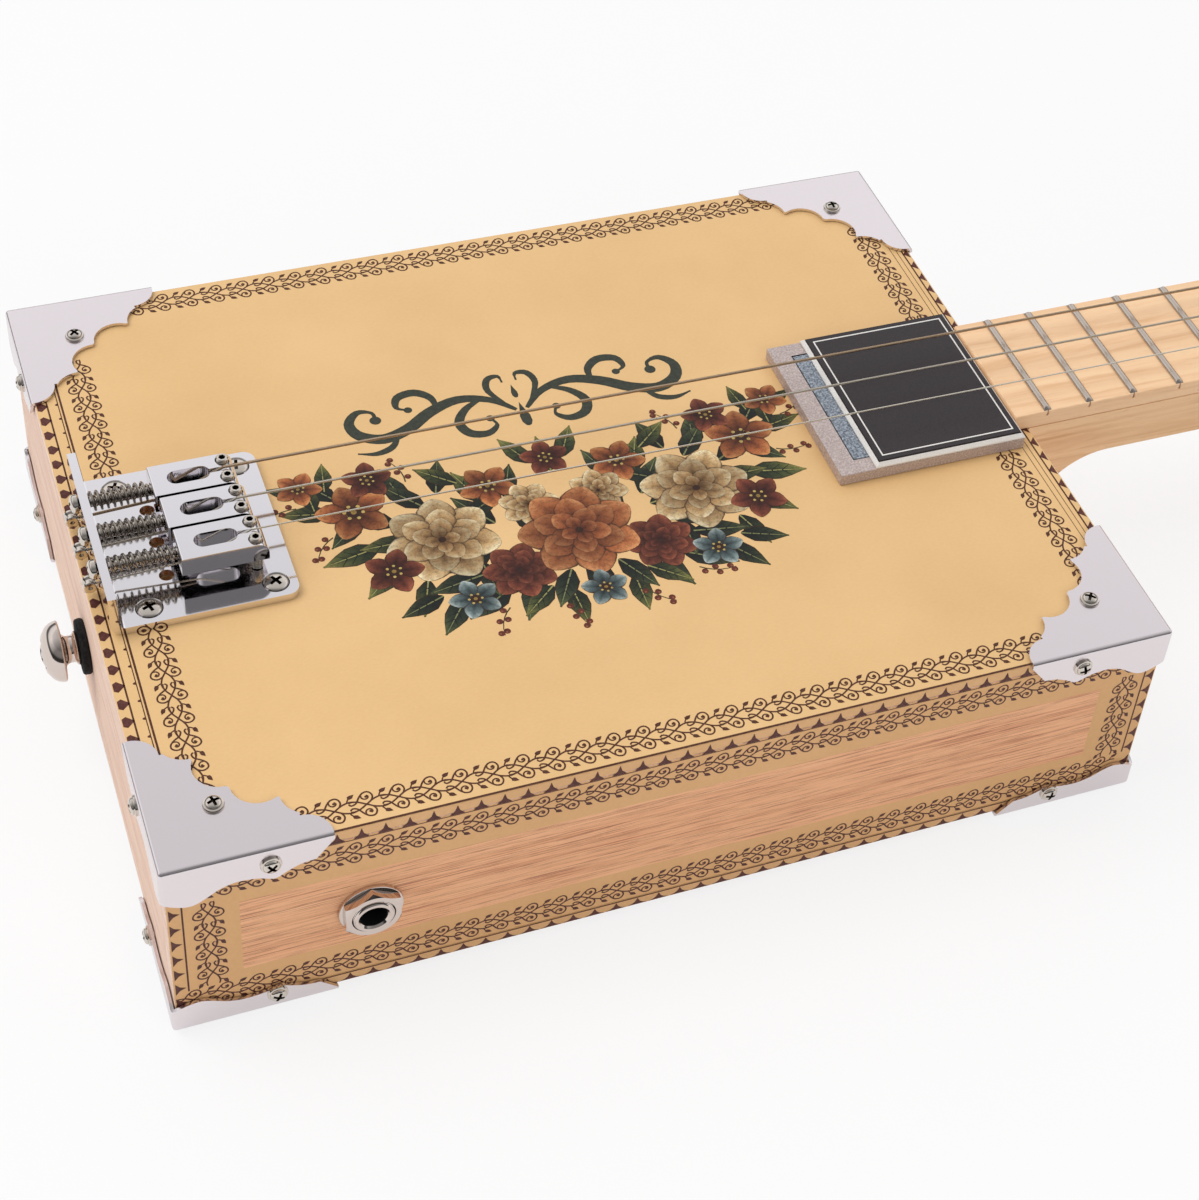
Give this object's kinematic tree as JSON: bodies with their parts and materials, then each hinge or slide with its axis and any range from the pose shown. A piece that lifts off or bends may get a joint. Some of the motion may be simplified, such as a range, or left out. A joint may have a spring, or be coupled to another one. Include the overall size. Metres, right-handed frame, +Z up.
{
  "type": "cigar box guitar",
  "caption": "Electric fretted guitar on a shallow wooden box, with metal corner guards, a sprung-saddle bridge, a flat pickup, a front jack and geared tuners.",
  "frame": {"origin": "under the middle of the full length, on the centre line of the neck, in the plane that the lowest guard screws touch", "axes": "+X along the neck towards the head, +Y to the far side, away from the jack, +Z up out of the lid and fretboard"},
  "size_m": [0.8079, 0.1955, 0.0698],
  "materials": {
    "printed_board": "wood faced with printed tan paper, satin",
    "bare_board": "bare pinkish softwood",
    "nickel": "bright nickel plate on pressed sheet",
    "chrome": "polished chrome plate",
    "steel": "bright steel",
    "wound_string": "bronze winding on steel",
    "grey_plate": "grainy matte grey",
    "blue_grey_strip": "grainy matte blue grey",
    "black_laminate": "black over white laminate, satin",
    "maple": "oiled maple",
    "bone": "polished bone white",
    "felt": "black felt"
  },
  "bodies": {
    "guitar": {"lid": "printed_board", "back_panel": "bare_board", "front_side": "printed_board", "back_side": "bare_board", "tail_side": "bare_board", "head_side": "bare_board", "lid_guard_tail_near": "nickel", "lid_guard_head_near": "nickel", "lid_guard_head_far": "nickel", "lid_guard_tail_far": "nickel", "base_guard_tail_near": "nickel", "base_guard_head_near": "nickel", "base_guard_head_far": "nickel", "base_guard_tail_far": "nickel", "bridge_plate": "chrome", "bridge_screw_1": "chrome", "bridge_screw_2": "chrome", "bridge_screw_3": "chrome", "bridge_screw_4": "chrome", "saddle_spring_1": "steel", "saddle_spring_2": "steel", "saddle_spring_3": "steel", "string_1": "wound_string", "string_2": "wound_string", "string_3": "steel", "pickup_base": "grey_plate", "pickup_strip": "blue_grey_strip", "pickup_cover": "black_laminate", "neck": "maple", "fretboard": "maple", "nut": "bone", "tuner_plate_1": "chrome", "tuner_plate_2": "chrome", "tuner_plate_3": "chrome", "jack_socket": "chrome", "jack_washer": "chrome", "jack_nut": "chrome", "strap_washer": "felt", "strap_button": "chrome", "strap_screw": "chrome"},
    "tuner_post_1": {"tuner_post_1": "chrome"},
    "tuner_post_2": {"tuner_post_2": "chrome"},
    "tuner_post_3": {"tuner_post_3": "chrome"},
    "tuner_key_1": {"tuner_key_1": "chrome"},
    "tuner_key_2": {"tuner_key_2": "chrome"},
    "tuner_key_3": {"tuner_key_3": "chrome"},
    "intonation_screw_1": {"intonation_screw_1": "steel"},
    "intonation_screw_2": {"intonation_screw_2": "steel"},
    "intonation_screw_3": {"intonation_screw_3": "steel"},
    "saddle_1": {"saddle_1": "chrome"},
    "saddle_2": {"saddle_2": "chrome"},
    "saddle_3": {"saddle_3": "chrome"},
    "height_screw_1_near": {"height_screw_1_near": "steel"},
    "height_screw_1_far": {"height_screw_1_far": "steel"},
    "height_screw_2_near": {"height_screw_2_near": "steel"},
    "height_screw_2_far": {"height_screw_2_far": "steel"},
    "height_screw_3_near": {"height_screw_3_near": "steel"},
    "height_screw_3_far": {"height_screw_3_far": "steel"}
  },
  "joints": [
    {"name": "tuner_key_1_turn", "type": "hinge", "parent": "guitar", "child": "tuner_key_1", "pos_m": [0.32107, 0.03, 0.03905], "axis": [0, 1, 0], "continuous": true},
    {"name": "tuner_key_2_turn", "type": "hinge", "parent": "guitar", "child": "tuner_key_2", "pos_m": [0.36607, 0.03, 0.03905], "axis": [0, 1, 0], "continuous": true},
    {"name": "tuner_key_3_turn", "type": "hinge", "parent": "guitar", "child": "tuner_key_3", "pos_m": [0.30547, -0.03, 0.03905], "axis": [0, -1, 0], "continuous": true},
    {"name": "tuner_post_1_turn", "type": "hinge", "parent": "guitar", "child": "tuner_post_1", "pos_m": [0.31328, 0.015, 0.055], "axis": [0, 0, 1], "continuous": true, "deforming": ["string_1"]},
    {"name": "tuner_post_2_turn", "type": "hinge", "parent": "guitar", "child": "tuner_post_2", "pos_m": [0.35828, 0.015, 0.055], "axis": [0, 0, 1], "continuous": true, "deforming": ["string_2"]},
    {"name": "tuner_post_3_turn", "type": "hinge", "parent": "guitar", "child": "tuner_post_3", "pos_m": [0.31328, -0.015, 0.055], "axis": [0, 0, 1], "continuous": true, "deforming": ["string_3"]},
    {"name": "intonation_screw_1_turn", "type": "hinge", "parent": "guitar", "child": "intonation_screw_1", "pos_m": [-0.3826, 0.0112, 0.0663], "axis": [1, 0, 0], "range_deg": [-2340, 2340]},
    {"name": "intonation_screw_2_turn", "type": "hinge", "parent": "guitar", "child": "intonation_screw_2", "pos_m": [-0.3826, 0, 0.0663], "axis": [1, 0, 0], "range_deg": [-2340, 2340]},
    {"name": "intonation_screw_3_turn", "type": "hinge", "parent": "guitar", "child": "intonation_screw_3", "pos_m": [-0.3826, -0.0112, 0.0663], "axis": [1, 0, 0], "range_deg": [-2340, 2340]},
    {"name": "saddle_1_slide", "type": "slide", "parent": "guitar", "child": "saddle_1", "axis": [1, 0, 0], "range_m": [-0.0025, 0.0025], "deforming": ["saddle_spring_1", "string_1"]},
    {"name": "saddle_2_slide", "type": "slide", "parent": "guitar", "child": "saddle_2", "axis": [1, 0, 0], "range_m": [-0.0025, 0.0025], "deforming": ["saddle_spring_2", "string_2"]},
    {"name": "saddle_3_slide", "type": "slide", "parent": "guitar", "child": "saddle_3", "axis": [1, 0, 0], "range_m": [-0.0025, 0.0025], "deforming": ["saddle_spring_3", "string_3"]},
    {"name": "height_screw_1_near_turn", "type": "hinge", "parent": "saddle_1", "child": "height_screw_1_near", "pos_m": [-0.35513, 0.0082, 0.065], "axis": [0, 0, 1], "range_deg": [-720, 720]},
    {"name": "height_screw_1_far_turn", "type": "hinge", "parent": "saddle_1", "child": "height_screw_1_far", "pos_m": [-0.35513, 0.0142, 0.065], "axis": [0, 0, 1], "range_deg": [-720, 720]},
    {"name": "height_screw_2_near_turn", "type": "hinge", "parent": "saddle_2", "child": "height_screw_2_near", "pos_m": [-0.35437, -0.003, 0.065], "axis": [0, 0, 1], "range_deg": [-720, 720]},
    {"name": "height_screw_2_far_turn", "type": "hinge", "parent": "saddle_2", "child": "height_screw_2_far", "pos_m": [-0.35437, 0.003, 0.065], "axis": [0, 0, 1], "range_deg": [-720, 720]},
    {"name": "height_screw_3_near_turn", "type": "hinge", "parent": "saddle_3", "child": "height_screw_3_near", "pos_m": [-0.35363, -0.0142, 0.065], "axis": [0, 0, 1], "range_deg": [-720, 720]},
    {"name": "height_screw_3_far_turn", "type": "hinge", "parent": "saddle_3", "child": "height_screw_3_far", "pos_m": [-0.35363, -0.0082, 0.065], "axis": [0, 0, 1], "range_deg": [-720, 720]}
  ],
  "couplings": [
    {"joint": "tuner_post_1_turn", "follows": "tuner_key_1_turn", "ratio": -0.066667},
    {"joint": "tuner_post_2_turn", "follows": "tuner_key_2_turn", "ratio": -0.066667},
    {"joint": "tuner_post_3_turn", "follows": "tuner_key_3_turn", "ratio": -0.066667},
    {"joint": "intonation_screw_1_turn", "follows": "saddle_1_slide", "rad_per_m": -12566},
    {"joint": "intonation_screw_2_turn", "follows": "saddle_2_slide", "rad_per_m": -12566},
    {"joint": "intonation_screw_3_turn", "follows": "saddle_3_slide", "rad_per_m": -12566}
  ]
}
